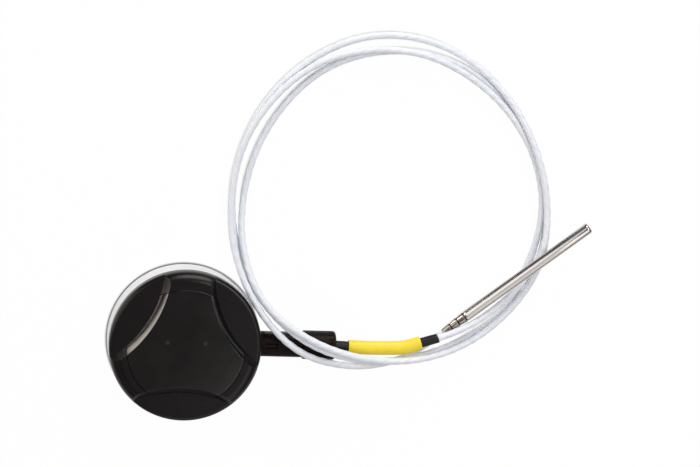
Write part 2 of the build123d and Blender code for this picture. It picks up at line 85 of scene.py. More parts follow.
# %% Helpers that start a finish
def start_finish(name, **inputs):
    material = bpy.data.materials.new(name)
    material.use_nodes = True
    tree = material.node_tree
    shader = tree.nodes["Principled BSDF"]
    for socket, value in inputs.items():
        shader.inputs[socket.replace("_", " ")].default_value = value
    return material, tree, shader


def feed(tree, socket, value):
    if isinstance(value, bpy.types.NodeSocket):
        tree.links.new(value, socket)
    else:
        socket.default_value = value


def add_node(tree, kind, settings=None, **inputs):
    node = tree.nodes.new(kind)
    for key, value in (settings or {}).items():
        setattr(node, key, value)
    for socket, value in inputs.items():
        feed(tree, node.inputs[socket.replace("_", " ")], value)
    return node


def object_place(tree):
    return tree.nodes.new("ShaderNodeTexCoord").outputs["Object"]


def object_noise(tree, grain, detail=2.0):
    place = object_place(tree)
    node = add_node(tree, "ShaderNodeTexNoise", Vector=place, Scale=1.0 / grain, Detail=detail)
    return node.outputs["Fac"]


def dress(names, material):
    for name in names:
        nodes[name].data.materials.clear()
        nodes[name].data.materials.append(material)
    print(material.name, "on", len(names), "nodes")


# %% [markdown]
# The other helpers work on values inside a tree: sums, smooth steps, colour ramps, mixed
# shaders and bumps. Most of a noise lies between 0.3 and 0.7, so a two-tone ramp spans that. A
# bump may sit on another normal, which is then given as the one under it.

# %% Helpers for values in a tree
def calc(tree, operation, *values):
    node = add_node(tree, "ShaderNodeMath", {"operation": operation})
    for socket, value in zip(node.inputs, values):
        feed(tree, socket, value)
    return node.outputs["Value"]


def vector_calc(tree, operation, *values):
    node = add_node(tree, "ShaderNodeVectorMath", {"operation": operation})
    for socket, value in zip(node.inputs, values):
        feed(tree, socket, value)
    gives_number = operation in ("LENGTH", "DISTANCE", "DOT_PRODUCT")
    return node.outputs["Value" if gives_number else "Vector"]


def spread(tree, value, start, end, low, high):
    node = add_node(
        tree,
        "ShaderNodeMapRange",
        {"interpolation_type": "SMOOTHSTEP"},
        Value=value,
        From_Min=start,
        From_Max=end,
        To_Min=low,
        To_Max=high,
    )
    return node.outputs["Result"]


def ramp(tree, value, stops):
    node = add_node(tree, "ShaderNodeValToRGB", Fac=value)
    for place, colour in stops[2:]:
        node.color_ramp.elements.new(place)
    for element, (place, colour) in zip(node.color_ramp.elements, sorted(stops)):
        element.position = place
        element.color = (*colour, 1.0)
    return node.outputs["Color"]


def two_tone(tree, noise_value, low, high):
    return ramp(tree, noise_value, [(0.3, low), (0.7, high)])


def grey(level):
    return (level, level, level)


def mix_shaders(tree, share, first, second):
    node = add_node(tree, "ShaderNodeMixShader", Fac=share)
    tree.links.new(first, node.inputs[1])
    tree.links.new(second, node.inputs[2])
    return node.outputs["Shader"]


def add_bump(tree, shader, height, depth, strength=1.0, under=None):
    node = add_node(tree, "ShaderNodeBump", Height=height, Strength=strength, Distance=depth)
    if under is not None:
        tree.links.new(under, node.inputs["Normal"])
    tree.links.new(node.outputs["Normal"], shader.inputs["Normal"])
    return node.outputs["Normal"]


print("helpers ready")

# %% [markdown]
# The floor is plain and pale. To the camera it is simply white, with a thin painted contact
# shadow where something touches it, found by ambient occlusion over a millimetre or two. The
# painted shadow is full round the heavy case and faint under the cable, which only rests on the
# table. To diffuse light it is a matt table that fills the undersides. To reflections it glows
# with a painted reflection of a lit table: white where it is looked at steeply or lies towards
# the front, where the lamps stand, and dim at a shallow angle further back. That dim part draws
# the thin dark line along polished metal.

# %% Floor finish
# Painted contact shadow: its reach and tones, full round the case and faint under the cable.
CONTACT_SHADOW_REACH = 1.6 * MM
CONTACT_SHADOW_TONES = [(0.0, grey(0.0)), (0.97, grey(1.0)), (0.6, grey(0.13))]
CASE_EDGE, CABLE_EDGE = 43 * MM, 46 * MM
CABLE_SHADOW_SHARE = 0.3
GLOW_SHARE = 0.975
# Painted reflection: the glow levels that the floor shows to reflected rays.
STEEP_SLANTS, STEEP_PAINTED_GLOW = (0.38, 0.58), (0.85, 0.05)
FRONT_PLACES, FRONT_PAINTED_GLOW = (15 * MM, 60 * MM), (0.6, 0.05)


# Paints the contact shadow into the floor's glow from ambient occlusion.
def painted_contact_shadow(tree, place):
    contact = add_node(
        tree, "ShaderNodeAmbientOcclusion", {"samples": 16}, Distance=CONTACT_SHADOW_REACH
    )
    shade = ramp(tree, contact.outputs["AO"], CONTACT_SHADOW_TONES)
    from_case = vector_calc(tree, "LENGTH", place)
    weight = spread(tree, from_case, CASE_EDGE, CABLE_EDGE, 1.0, CABLE_SHADOW_SHARE)
    darker = calc(tree, "MULTIPLY", calc(tree, "SUBTRACT", 1.0, shade), weight)
    return calc(tree, "SUBTRACT", 1.0, darker)


# Paints how bright the table looks in reflections: brighter when seen steeply or towards the
# front.
def painted_table_reflection(tree, place):
    back = add_node(tree, "ShaderNodeSeparateXYZ", Vector=place).outputs["Y"]
    slant = add_node(tree, "ShaderNodeLayerWeight", Blend=0.5).outputs["Facing"]
    steep = spread(tree, slant, *STEEP_SLANTS, *STEEP_PAINTED_GLOW)
    in_front = spread(tree, back, *FRONT_PLACES, *FRONT_PAINTED_GLOW)
    return calc(tree, "MAXIMUM", steep, in_front)


def table_finish():
    material = bpy.data.materials.new("pale table")
    material.use_nodes = True
    tree = material.node_tree
    tree.nodes.clear()
    place = object_place(tree)
    matt = add_node(tree, "ShaderNodeBsdfDiffuse", Color=(0.90, 0.90, 0.90, 1.0)).outputs["BSDF"]
    glow = add_node(tree, "ShaderNodeEmission", Strength=painted_contact_shadow(tree, place))
    shown = mix_shaders(tree, GLOW_SHARE, matt, glow.outputs["Emission"])
    painted_reflection = add_node(tree, "ShaderNodeEmission", Strength=painted_table_reflection(tree, place))

    ray = tree.nodes.new("ShaderNodeLightPath").outputs
    looked_at = calc(tree, "MAXIMUM", ray["Is Camera Ray"], ray["Is Transmission Ray"])
    surface = mix_shaders(tree, ray["Is Glossy Ray"], matt, painted_reflection.outputs["Emission"])
    surface = mix_shaders(tree, looked_at, surface, shown)
    output = tree.nodes.new("ShaderNodeOutputMaterial")
    tree.links.new(surface, output.inputs["Surface"])
    material.cycles.emission_sampling = "NONE"
    return material


pale_table = table_finish()
print("floor finish nodes:", len(pale_table.node_tree.nodes))

# %% [markdown]
# The floor itself is one wide square. It lies a hair below the part, so that the two never
# share a plane. Colours are shown in the Standard view, so that its white stays white.

# %% Floor
FLOOR_REACH = 6.0
FLOOR_DROP = 0.05 * MM


def make_floor(material):
    ways = ((-1, -1), (1, -1), (1, 1), (-1, 1))
    mesh = bpy.data.meshes.new("floor")
    mesh.from_pydata([(x * FLOOR_REACH, y * FLOOR_REACH, 0) for x, y in ways], [], [(0, 1, 2, 3)])
    mesh.materials.append(material)
    floor = bpy.data.objects.new("floor", mesh)
    floor.location.z = -FLOOR_DROP
    scene.collection.objects.link(floor)
    return floor


make_floor(pale_table)
scene.view_settings.view_transform = "Standard"
print("floor reach in m:", FLOOR_REACH)

# %% [markdown]
# The room is dim at the horizon, which keeps the sides of the black case deep. It is brightest
# a third of the way up and dimmer again overhead. A world shader reads its direction from the
# Generated output. The sky is so even that it needs no sampling of its own, which leaves more
# of the samples to the softboxes.

# %% Room
SKY_TONES = [
    (0.0, (0.045, 0.044, 0.043)),
    (1.0, (0.16, 0.157, 0.154)),
    (0.2, (0.11, 0.108, 0.106)),
    (0.55, (0.36, 0.356, 0.356)),
    (0.85, (0.24, 0.236, 0.234)),
]
WHITE = (1.0, 1.0, 1.0)


def make_room():
    world = bpy.data.worlds.new("room")
    world.use_nodes = True
    tree = world.node_tree
    tree.nodes.clear()
    way = tree.nodes.new("ShaderNodeTexCoord").outputs["Generated"]
    height = add_node(tree, "ShaderNodeSeparateXYZ", Vector=way).outputs["Z"]
    dim = add_node(tree, "ShaderNodeBackground", Color=ramp(tree, height, SKY_TONES))
    white = add_node(tree, "ShaderNodeBackground", Color=(*WHITE, 1.0))
    seen = tree.nodes.new("ShaderNodeLightPath").outputs["Is Camera Ray"]
    room = mix_shaders(tree, seen, dim.outputs["Background"], white.outputs["Background"])
    output = tree.nodes.new("ShaderNodeOutputWorld")
    tree.links.new(room, output.inputs["Surface"])
    world.cycles.sampling_method = "NONE"
    scene.world = world


make_room()
print("room ready, sky tones:", len(SKY_TONES))

# %% [markdown]
# Each softbox has one job. The left one stands low over the table and puts the pale glint on
# the left bevel of the window. The back one, also low, draws the highlight on the upper rim.
# The high left one lights the bright stripe on the probe, the front ones its broad grey side
# and the sheen at the window's right. A small card hung close over the probe fills the gap
# between those two, and is too low for the window to mirror it. The right softbox is for the
# cable alone: no polished surface faces it, so it adds light without adding reflections.

# %% Softboxes
CASE_AXIS = (0.0, 0.0, 0.0)
PART_MIDDLE = (0.05, 0.03, 0.0)
UNDER_CARD = (0.204, 0.037, 0.014)
WARM = (1.0, 0.95, 0.87)


def add_softbox(name, azimuth, elevation, distance, size, radiance, aim=PART_MIDDLE, tint=WHITE):
    light = bpy.data.lights.new(name, "AREA")
    light.shape = "RECTANGLE"
    light.size, light.size_y = size
    light.energy = radiance * math.pi * size[0] * size[1]
    light.color = tint
    lamp = bpy.data.objects.new(name, light)
    turn = math.radians(azimuth)
    rise = math.radians(elevation)
    level = math.cos(rise)
    way = Vector((math.cos(turn) * level, math.sin(turn) * level, math.sin(rise)))
    lamp.location = Vector(aim) + way * distance
    lamp.rotation_euler = way.to_track_quat("Z", "Y").to_euler()
    lamp.visible_camera = False
    scene.collection.objects.link(lamp)
    print(name, "power in W:", round(light.energy, 2))


add_softbox(
    "left softbox", azimuth=161, elevation=9.5, distance=1.39, size=(1.1, 0.28), radiance=7.0,
    aim=CASE_AXIS, tint=WARM,
)
add_softbox(
    "back softbox", azimuth=80, elevation=18, distance=1.5, size=(0.9, 0.9), radiance=4.4,
)
add_softbox(
    "high left softbox", azimuth=158, elevation=50, distance=1.5, size=(0.72, 1.1), radiance=1.2,
)
add_softbox(
    "front softbox", azimuth=286, elevation=33, distance=1.5, size=(1.3, 1.15), radiance=0.66,
)
add_softbox(
    "high front softbox", azimuth=315, elevation=62, distance=1.7, size=(0.5, 0.8), radiance=1.3,
)
add_softbox(
    "right softbox", azimuth=35, elevation=58, distance=1.5, size=(0.7, 0.55), radiance=5.7,
)
add_softbox(
    "probe card", azimuth=222, elevation=71, distance=0.176, size=(0.16, 0.115), radiance=0.6,
    aim=UNDER_CARD,
)

# %% [markdown]
# The cable is the largest thing in the picture. On the real probe it is a slim jacket drawn
# tight over twisted cores, so its surface has faint slanting swells. Its route leaves the
# black sleeve, makes three loose turns over the plug and ends in the crimped probe. The
# route is one smooth spline, led by a list of stations round the middle of the coil. Each
# station gives its distance from that middle and its height, in millimetres, and the next one
# lies 20 degrees further round. Geometry Nodes then draw the tube along the spline.

# %% Route of the cable
CABLE_DIAMETER = 3.8 * MM
COIL_MIDDLE = (109.5, 80.5)
COIL_FIRST_ANGLE = 320
COIL_STEP = 20
SLEEVE_END = (140.3, 5.6, 9.0)
LEAD_IN = [SLEEVE_END, (153.6, 9.9, 9.0)]
PROBE_START = (144.2, 8.05, 4.3)
LEAD_OUT = [(120.0, -9.3, 3.0), (134.5, -0.35, 2.1), PROBE_START]
FIRST_TURN = [
    (86.2, 7.0), (92.5, 5.1), (89.5, 2.1), (86.5, 2.0), (84.5, 2.0), (85.5, 2.0),
    (84.5, 2.0), (83.5, 2.0), (82.5, 2.0), (80.0, 2.0), (79.5, 2.2), (81.0, 2.0),
    (85.5, 6.8), (89.5, 18.4), (86.5, 24.2), (86.5, 20.4), (90.0, 12.0), (93.0, 5.7),
]
SECOND_TURN = [
    (93.0, 6.3), (92.5, 10.1), (88.5, 9.2), (86.0, 10.1), (87.0, 6.0), (89.5, 2.9),
    (92.0, 2.0), (93.0, 2.0), (91.0, 2.0), (89.0, 2.0), (87.5, 2.0), (87.5, 2.0),
    (88.0, 3.2), (89.5, 13.8), (89.5, 21.0), (89.0, 17.2), (89.5, 7.6), (90.5, 2.0),
]
THIRD_TURN = [
    (93.0, 2.0), (87.5, 2.0), (86.5, 6.2), (84.5, 5.6), (82.5, 5.4), (82.0, 5.0),
    (84.0, 6.2), (85.5, 6.0), (87.5, 5.0), (87.5, 5.8), (88.0, 6.2), (88.0, 5.6),
    (90.5, 8.4), (93.5, 17.4), (96.5, 21.8), (94.5, 9.8),
]


def route_points():
    points = [Vector(point) for point in LEAD_IN]
    for count, (distance, height) in enumerate(FIRST_TURN + SECOND_TURN + THIRD_TURN):
        angle = math.radians(COIL_FIRST_ANGLE + COIL_STEP * count)
        x = COIL_MIDDLE[0] + distance * math.cos(angle)
        y = COIL_MIDDLE[1] + distance * math.sin(angle)
        points.append(Vector((x, y, height)))
    points += [Vector(point) for point in LEAD_OUT]
    return [point * MM for point in points]


def smooth_line(name, points):
    curve = bpy.data.curves.new(name, "CURVE")
    curve.dimensions = "3D"
    spline = curve.splines.new("NURBS")
    spline.points.add(len(points) - 1)
    for control, point in zip(spline.points, points):
        control.co = (*point, 1.0)
    spline.order_u = 3
    spline.use_endpoint_u = True
    curve.resolution_u = 12
    holder = bpy.data.objects.new(name, curve)
    scene.collection.objects.link(holder)
    depsgraph = bpy.context.evaluated_depsgraph_get()
    line = bpy.data.meshes.new_from_object(holder.evaluated_get(depsgraph))
    bpy.data.objects.remove(holder)
    return line


cable_line = smooth_line("cable route", route_points())
cable_path = [vertex.co.copy() for vertex in cable_line.vertices]
cable_length = sum((b - a).length for a, b in zip(cable_path, cable_path[1:]))
print("cable length in mm:", round(cable_length / MM), "on", len(cable_path), "points")

# %% [markdown]
# Geometry Nodes are built in the script too. These helpers make a tree with named sizes, read
# and store attributes in it, and grow a piece: they put the tree on a base mesh, set its sizes,
# and keep the result as a plain mesh without the modifier.

# %% Helpers for Geometry Nodes
def new_tree(name, sizes):
    tree = bpy.data.node_groups.new(name, "GeometryNodeTree")
    tree.interface.new_socket("Geometry", in_out="INPUT", socket_type="NodeSocketGeometry")
    tree.interface.new_socket("Geometry", in_out="OUTPUT", socket_type="NodeSocketGeometry")
    for label, value in sizes.items():
        socket = tree.interface.new_socket(label, in_out="INPUT", socket_type="NodeSocketFloat")
        socket.default_value = value
    return tree, tree.nodes.new("NodeGroupInput"), tree.nodes.new("NodeGroupOutput")


def set_input(modifier, label, value):
    for item in modifier.node_group.interface.items_tree:
        if item.item_type == "SOCKET" and item.in_out == "INPUT" and item.name == label:
            modifier[item.identifier] = value


def named(tree, kind, name):
    node = add_node(tree, "GeometryNodeInputNamedAttribute", {"data_type": kind}, Name=name)
    return node.outputs["Attribute"]


def store(tree, geometry, kind, name, value):
    node = add_node(
        tree,
        "GeometryNodeStoreNamedAttribute",
        {"data_type": kind, "domain": "POINT"},
        Geometry=geometry,
        Name=name,
        Value=value,
    )
    return node.outputs["Geometry"]


def grow(name, base_mesh, tree, **sizes):
    holder = bpy.data.objects.new(name + "_source", base_mesh)
    scene.collection.objects.link(holder)
    modifier = holder.modifiers.new("grow", "NODES")
    modifier.node_group = tree
    for label, value in sizes.items():
        set_input(modifier, label.replace("_", " "), value)
    depsgraph = bpy.context.evaluated_depsgraph_get()
    mesh = bpy.data.meshes.new_from_object(holder.evaluated_get(depsgraph))
    bpy.data.objects.remove(holder)
    mesh.name = name
    piece = bpy.data.objects.new(name, mesh)
    scene.collection.objects.link(piece)
    print(name, "faces:", len(mesh.polygons), "finish:", mesh.materials[0].name)
    return piece


# %% [markdown]
# A tube along a line is a job for Geometry Nodes: Curve to Mesh sweeps a small profile along
# the route. The jacket isn't quite round. It has three shallow lobes, one for each core, and
# they wind round the cable as the cores do. The curve's tilt could wind the profile, but that
# twists the faces, so the lobes are pushed in after the sweep instead. Two stored attributes,
# the length along the cable and the wound place round it, also let the finish follow the lay.

# %% Tube by Geometry Nodes
CABLE_SIDES = 28


def jacketed_cable_tree(material):
    tree, given, result = new_tree(
        "jacketed cable",
        {
            "Radius": 1.9 * MM,
            "Lobe Height": 0.085 * MM,
            "Lobes": 3.0,
            "Lay Length": 20.0 * MM,
            "Step": 1.1 * MM,
        },
    )
    size = given.outputs

    to_curve = add_node(tree, "GeometryNodeMeshToCurve", Mesh=size["Geometry"])
    resample = add_node(
        tree,
        "GeometryNodeResampleCurve",
        {"mode": "LENGTH"},
        Curve=to_curve.outputs["Curve"],
        Length=size["Step"],
    )
    reached = tree.nodes.new("GeometryNodeSplineParameter").outputs["Length"]
    route = store(tree, resample.outputs["Curve"], "FLOAT", "along", reached)

    circle = add_node(
        tree, "GeometryNodeCurvePrimitiveCircle", Resolution=CABLE_SIDES, Radius=size["Radius"]
    )
    position = tree.nodes.new("GeometryNodeInputPosition").outputs["Position"]
    profile = store(tree, circle.outputs["Curve"], "FLOAT_VECTOR", "round", position)
    sweep = add_node(
        tree, "GeometryNodeCurveToMesh", Curve=route, Profile_Curve=profile, Fill_Caps=True
    )

    turns = calc(tree, "DIVIDE", named(tree, "FLOAT", "along"), size["Lay Length"])
    lay = add_node(
        tree,
        "ShaderNodeVectorRotate",
        {"rotation_type": "Z_AXIS"},
        Vector=named(tree, "FLOAT_VECTOR", "round"),
        Angle=calc(tree, "MULTIPLY", turns, 2 * math.pi),
    )
    jacket = store(tree, sweep.outputs["Mesh"], "FLOAT_VECTOR", "jacket", lay.outputs["Vector"])

    place = named(tree, "FLOAT_VECTOR", "jacket")
    parts = add_node(tree, "ShaderNodeSeparateXYZ", Vector=place).outputs
    angle = calc(tree, "ARCTAN2", parts["Y"], parts["X"])
    wave = calc(tree, "COSINE", calc(tree, "MULTIPLY", angle, size["Lobes"]))
    swell = calc(tree, "MULTIPLY", calc(tree, "SUBTRACT", wave, 1.0), size["Lobe Height"])
    normal = tree.nodes.new("GeometryNodeInputNormal").outputs["Normal"]
    outward = add_node(
        tree, "ShaderNodeVectorMath", {"operation": "SCALE"}, Vector=normal, Scale=swell
    )
    shaped = add_node(
        tree, "GeometryNodeSetPosition", Geometry=jacket, Offset=outward.outputs["Vector"]
    )

    smooth = add_node(tree, "GeometryNodeSetShadeSmooth", Geometry=shaped.outputs["Geometry"])
    real = add_node(tree, "GeometryNodeRealizeInstances", Geometry=smooth.outputs["Geometry"])
    finish = add_node(
        tree, "GeometryNodeSetMaterial", Geometry=real.outputs["Geometry"], Material=material
    )
    tree.links.new(finish.outputs["Geometry"], result.inputs["Geometry"])
    print("cable tree nodes:", len(tree.nodes))
    return tree


# %% [markdown]
# The jacket is off-white with a cool cast and a satin sheen. The finish reads the two
# stored attributes, so its faint streaks follow the lay of the cores, and a soft noise
# gives the handled, slightly uneven look of a used lead.

# %% Cable finish
STREAK_WIDTH = 1.7 * MM
STREAK_LENGTH = 6.7 * MM
JACKET_DARK, JACKET_LIGHT = (0.74, 0.76, 0.81), (0.85, 0.87, 0.915)


def cable_finish():
    material, tree, shader = start_finish(
        "satin cable jacket", Roughness=0.40, Specular_IOR_Level=0.45
    )
    along = add_node(tree, "ShaderNodeAttribute", {"attribute_name": "along"}).outputs["Fac"]
    jacket = add_node(tree, "ShaderNodeAttribute", {"attribute_name": "jacket"}).outputs["Vector"]
    width = 1.0 / STREAK_WIDTH
    across = add_node(
        tree, "ShaderNodeVectorMath", {"operation": "SCALE"}, Vector=jacket, Scale=width
    )
    length = add_node(tree, "ShaderNodeCombineXYZ", Z=calc(tree, "DIVIDE", along, STREAK_LENGTH))
    place = vector_calc(tree, "ADD", across.outputs["Vector"], length.outputs["Vector"])
    streak = add_node(tree, "ShaderNodeTexNoise", Vector=place, Scale=1.0, Detail=1.0)
    streak = streak.outputs["Fac"]
    cloud = object_noise(tree, 7 * MM, 3.0)
    tone = calc(tree, "MULTIPLY", calc(tree, "ADD", streak, cloud), 0.5)
    feed(tree, shader.inputs["Base Color"], two_tone(tree, tone, JACKET_DARK, JACKET_LIGHT))
    add_bump(tree, shader, streak, 0.05 * MM, 0.7)
    return material


cable = grow("cable", cable_line, jacketed_cable_tree(cable_finish()), Radius=CABLE_DIAMETER / 2)
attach(cable, "root")
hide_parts("probe_cable")

# %% [markdown]
# Each of the three scoops in the cover ends in a bevel that runs across the cover and the
# window. Moulding and polishing leave it slightly crowned, so a glint is bright at its head
# and fades towards its foot. The solids have plain bevels, and a bump adds the crown. It falls
# by about a fifth of a millimetre over the bevel, measured from the axis of the scoop.

# %% Crown of the bevels
SCOOP_DISTANCE = 87.75 * MM
SCOOP_RADIUS = 66.0 * MM
SCOOP_FLOOR_RADIUS = 62.6 * MM
SCOOP_ANGLES = (29, 149, 269)
BEVEL_CROWN = 0.22 * MM


def crowned_bevels(tree, place):
    flat = vector_calc(tree, "MULTIPLY", place, (1.0, 1.0, 0.0))
    total = 0.0
    for angle in SCOOP_ANGLES:
        turn = math.radians(angle)
        axis = (SCOOP_DISTANCE * math.cos(turn), SCOOP_DISTANCE * math.sin(turn), 0.0)
        share = add_node(
            tree,
            "ShaderNodeMapRange",
            Value=vector_calc(tree, "DISTANCE", flat, axis),
            From_Min=SCOOP_FLOOR_RADIUS,
            From_Max=SCOOP_RADIUS,
        ).outputs["Result"]
        drop = calc(tree, "POWER", calc(tree, "SUBTRACT", 1.0, share), 2.0)
        total = calc(tree, "ADD", drop, total)
    return calc(tree, "MULTIPLY", total, -BEVEL_CROWN)


print("crown of the bevels in mm:", round(BEVEL_CROWN / MM, 2))

# %% [markdown]
# The case is moulded plastic in two finishes. The cover has a fine spark-eroded grain, which
# spreads a highlight without making the black look wet. The base is a satin white with a
# slightly coarser grain. Both could be flat colours with a roughness, but the grain is what
# the eye reads as plastic.

# %% Case finishes
def grained_black():
    material, tree, shader = start_finish(
        "grained black moulding", Specular_IOR_Level=0.31, Specular_Tint=(1.0, 0.90, 0.91, 1.0)
    )
    grain = object_noise(tree, 0.22 * MM)
    cloud = object_noise(tree, 14 * MM, 3.0)
    colour = two_tone(tree, cloud, (0.0030, 0.0027, 0.0026), (0.0042, 0.0038, 0.0036))
    feed(tree, shader.inputs["Base Color"], colour)
    feed(tree, shader.inputs["Roughness"], two_tone(tree, grain, grey(0.23), grey(0.31)))
    crown = add_bump(tree, shader, crowned_bevels(tree, object_place(tree)), 1.0)
    add_bump(tree, shader, grain, 0.02 * MM, 0.6, under=crown)
    return material


def satin_white():
    material, tree, shader = start_finish("satin white moulding", Specular_IOR_Level=0.4)
    grain = object_noise(tree, 0.35 * MM)
    cloud = object_noise(tree, 20 * MM)
    colour = two_tone(tree, cloud, (0.725, 0.722, 0.74), (0.775, 0.772, 0.79))
    feed(tree, shader.inputs["Base Color"], colour)
    feed(tree, shader.inputs["Roughness"], two_tone(tree, grain, grey(0.40), grey(0.50)))
    add_bump(tree, shader, grain, 0.03 * MM, 0.5)
    return material


dress(["front_cover"], grained_black())
dress(["base_shell"], satin_white())

# %% [markdown]
# The window is polished, dark plastic. It is thinner over the two light pipes, so each shows
# as a faint pale spot, worked out from the distance to the pipe's end. A Bevel node rounds
# its edges for the light alone, so they catch a fine line, and the crown lies on top of that.

# %% Window finish
SPOT_EDGE = (1.5 * MM, 2.1 * MM)
WINDOW_BLACK, SPOT_GREY = (0.0030, 0.0029, 0.0030), (0.024, 0.022, 0.020)
WINDOW_EDGE_ROUND = 0.3 * MM


def pipe_spots(tree, place):
    spots = 0.0
    for name in ("light_pipe_left", "light_pipe_right"):
        low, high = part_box(name)
        pipe_end = ((low[0] + high[0]) / 2, (low[1] + high[1]) / 2, high[2])
        away = vector_calc(tree, "DISTANCE", place, pipe_end)
        spots = calc(tree, "ADD", spread(tree, away, *SPOT_EDGE, 1.0, 0.0), spots)
    return spots


def polished_window():
    material, tree, shader = start_finish(
        "polished window", Specular_IOR_Level=0.66, Specular_Tint=(1.0, 0.95, 0.92, 1.0)
    )
    place = object_place(tree)
    spots = pipe_spots(tree, place)
    colour = ramp(tree, spots, [(0.0, WINDOW_BLACK), (1.0, SPOT_GREY)])
    feed(tree, shader.inputs["Base Color"], colour)
    smear = object_noise(tree, 18 * MM, 4.0)
    feed(tree, shader.inputs["Roughness"], two_tone(tree, smear, grey(0.10), grey(0.16)))
    edges = add_node(tree, "ShaderNodeBevel", {"samples": 8}, Radius=WINDOW_EDGE_ROUND)
    add_bump(tree, shader, crowned_bevels(tree, place), 1.0, under=edges.outputs["Normal"])
    return material


dress(["front_window"], polished_window())

# %% [markdown]
# The plug is a satin engineering plastic, a shade browner than the case. The same recipe, with
# other colours and grains, makes the seal, and later the inner pieces and the shrink tubes.

# %% Plug and seal finishes
def moulded(name, dark, light, rough, grain, depth, specular=0.4, tint=WHITE):
    material, tree, shader = start_finish(
        name, Specular_IOR_Level=specular, Specular_Tint=(*tint, 1.0)
    )
    fine = object_noise(tree, grain)
    cloud = object_noise(tree, 12 * MM, 3.0)
    levels = (grey(rough - 0.05), grey(rough + 0.05))
    feed(tree, shader.inputs["Base Color"], two_tone(tree, cloud, dark, light))
    feed(tree, shader.inputs["Roughness"], two_tone(tree, fine, *levels))
    add_bump(tree, shader, fine, depth, 0.6)
    return material


brown_black = moulded(
    "brown black plug", (0.0056, 0.0032, 0.0028), (0.0084, 0.0054, 0.0048),
    rough=0.40, grain=0.3 * MM, depth=0.04 * MM, specular=0.12, tint=(1.0, 0.80, 0.77),
)
dress(["plug_body", "plug_rear_shell", "plug_gland_nut", "probe_socket"], brown_black)
seal_rubber = moulded(
    "seal rubber", grey(0.012), grey(0.02), rough=0.6, grain=0.3 * MM, depth=0.04 * MM
)
dress(["housing_seal"], seal_rubber)

# %% [markdown]
# The pieces inside the closed case and in the probe's tip are out of sight, but the part may
# be opened or cut one day, so they get finishes from the same recipe.

# %% Finishes of the inner pieces
chip_black = moulded(
    "chip black", grey(0.015), grey(0.025), rough=0.55, grain=0.2 * MM, depth=0.03 * MM
)
dress(["microcontroller", "memory_chip"], chip_black)
amber_resin = moulded(
    "amber resin", (0.28, 0.16, 0.05), (0.38, 0.25, 0.09),
    rough=0.3, grain=1.0 * MM, depth=0.03 * MM,
)
dress(["tip_resin"], amber_resin)
white_ceramic = moulded(
    "white ceramic", (0.76, 0.74, 0.68), (0.84, 0.82, 0.76),
    rough=0.35, grain=0.3 * MM, depth=0.02 * MM,
)
dress(["sensor_element"], white_ceramic)
wrapped_cell = moulded(
    "wrapped cell", (0.08, 0.19, 0.30), (0.10, 0.23, 0.36),
    rough=0.3, grain=2.0 * MM, depth=0.03 * MM,
)
dress(["battery_cell"], wrapped_cell)
light_guide = moulded(
    "light guide", grey(0.70), grey(0.78), rough=0.12, grain=3 * MM, depth=0.01 * MM
)
dress(["light_pipe_left", "light_pipe_right"], light_guide)
lamp_body = moulded(
    "lamp body", (0.76, 0.75, 0.66), (0.82, 0.81, 0.74),
    rough=0.2, grain=1 * MM, depth=0.01 * MM,
)
dress(["status_led_left", "status_led_right"], lamp_body)
green_laminate = moulded(
    "green laminate", (0.015, 0.11, 0.045), (0.025, 0.16, 0.07),
    rough=0.4, grain=0.8 * MM, depth=0.02 * MM,
)
dress(["main_board", "plug_board"], green_laminate)

# %% [markdown]
# Metal is a mirror with a tint, so its finish is mostly roughness. Drawing and turning leave
# fine lines, so tint and roughness come from a noise that can be stretched along one direction.

# %% Metal finishes
def metal(name, dark, light, rough, grain, depth, stretch=(1, 1, 1), turn=(0, 0, 0)):
    material, tree, shader = start_finish(name, Metallic=1.0)
    turned = add_node(tree, "ShaderNodeMapping", Vector=object_place(tree), Rotation=turn)
    drawn = add_node(tree, "ShaderNodeMapping", Vector=turned.outputs["Vector"], Scale=stretch)
    place = drawn.outputs["Vector"]
    lines = add_node(tree, "ShaderNodeTexNoise", Vector=place, Scale=1.0 / grain, Detail=3.0)
    lines = lines.outputs["Fac"]
    levels = (grey(rough - 0.04), grey(rough + 0.04))
    feed(tree, shader.inputs["Base Color"], two_tone(tree, lines, dark, light))
    feed(tree, shader.inputs["Roughness"], two_tone(tree, lines, *levels))
    add_bump(tree, shader, lines, depth, 0.2)
    return material


plated_screw = metal(
    "plated screw", grey(0.48), grey(0.60), rough=0.32, grain=0.4 * MM, depth=0.02 * MM
)
dress(["case_screws", "board_screws"], plated_screw)
tinned_can = metal(
    "tinned can", grey(0.55), grey(0.66),
    rough=0.38, grain=1.0 * MM, depth=0.02 * MM, stretch=(1, 6, 1),
)
dress(["radio_module"], tinned_can)
plated_contact = metal(
    "plated contact", (0.62, 0.47, 0.20), (0.74, 0.58, 0.28),
    rough=0.28, grain=0.5 * MM, depth=0.01 * MM,
)
CONTACT_NODES = [
    "battery_clip_positive", "battery_clip_negative", "socket_contacts", "plug_contacts",
    "sensor_leads",
]
dress(CONTACT_NODES, plated_contact)

# %% [markdown]
# Two sleeves and the probe are skins of rings. A ring is a circle of points round a station
# on a line, and its radius may change with the angle, so one helper makes the lumpy shrink
# tubes as well as the turned and crimped steel. Ring by ring is chosen over a lathe because
# the crimp has flats and the shrink tubes follow a bent line.

# %% Skins of rings
def ring(middle, way, radius_at, sides):
    across = way.cross(Vector((0, 0, 1))).normalized()
    over = way.cross(across)
    points = []
    for count in range(sides):
        turn = 2 * math.pi * count / sides
        out = across * math.cos(turn) + over * math.sin(turn)
        radius, shift = radius_at(turn, out)
        points.append(middle + out * radius + way * shift)
    return points


